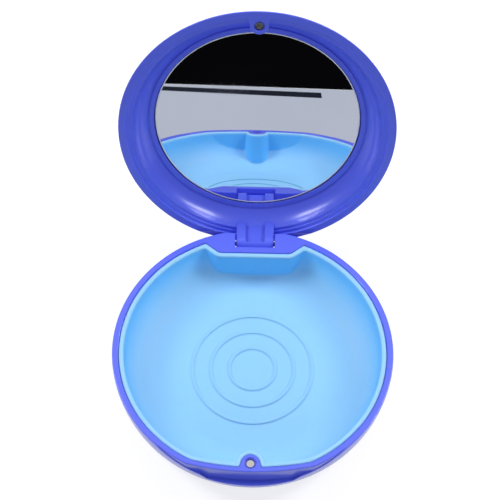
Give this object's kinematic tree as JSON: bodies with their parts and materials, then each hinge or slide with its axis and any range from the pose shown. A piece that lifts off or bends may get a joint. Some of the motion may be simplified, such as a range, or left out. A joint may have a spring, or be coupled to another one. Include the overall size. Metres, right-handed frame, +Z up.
{
  "type": "retainer case",
  "caption": "Round hinged retainer case with a silicone-lined tray, a mirror inside the lid and magnets that hold it shut.",
  "frame": {"origin": "centre of the flat underside of the base", "axes": "+Z up out of the tray, +Y towards the hinge, +X to the right seen from the front"},
  "size_m": [0.09, 0.1258, 0.0935],
  "materials": {
    "shell_plastic": "satin gloss moulding",
    "liner_silicone": "smooth translucent-looking silicone",
    "mirror_face": "silvered glass",
    "adhesive_foam": "matt foam tape",
    "magnet_plating": "nickel plated",
    "pin_steel": "drawn steel"
  },
  "bodies": {
    "base": {"base_shell": "shell_plastic", "silicone_liner": "liner_silicone", "base_magnet": "magnet_plating", "hinge_pin": "pin_steel"},
    "lid": {"lid_shell": "shell_plastic", "mirror_glass": "mirror_face", "mirror_tape": "adhesive_foam", "lid_magnet": "magnet_plating"}
  },
  "joints": [
    {"name": "lid_hinge", "type": "hinge", "parent": "base", "child": "lid", "pos_m": [0, 0.0421, 0.0134], "axis": [1, 0, 0], "range_deg": [0, 110]}
  ]
}
